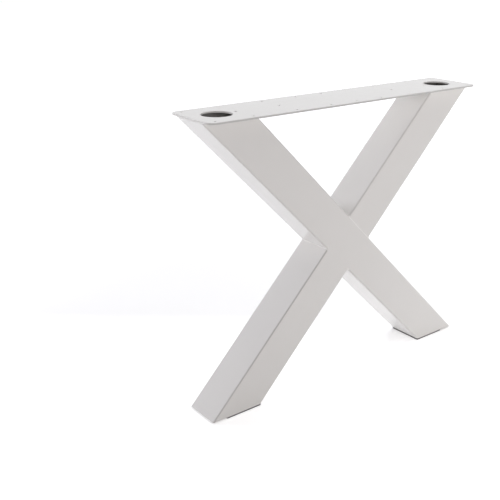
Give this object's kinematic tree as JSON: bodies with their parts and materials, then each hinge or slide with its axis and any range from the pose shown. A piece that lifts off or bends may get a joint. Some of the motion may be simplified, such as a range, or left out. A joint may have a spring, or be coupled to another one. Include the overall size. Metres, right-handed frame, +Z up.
{
  "type": "x-shaped table leg",
  "caption": "X-shaped table leg of crossing square steel tubes, with a flat screw plate across the top and thin pads under the feet.",
  "frame": {"origin": "on the floor, below the crossing", "axes": "+X along the top plate, +Y along its depth, +Z up"},
  "size_m": [0.84, 0.16, 0.72],
  "materials": {
    "powder_coat": "satin white powder coat",
    "floor_pad": "matt"
  },
  "bodies": {
    "root": {"top_plate": "powder_coat", "through_tube": "powder_coat", "upper_half_tube": "powder_coat", "lower_half_tube": "powder_coat", "cross_welds": "powder_coat", "plate_welds": "powder_coat", "left_foot_plate": "powder_coat", "right_foot_plate": "powder_coat", "left_foot_pad": "floor_pad", "right_foot_pad": "floor_pad"}
  },
  "joints": []
}
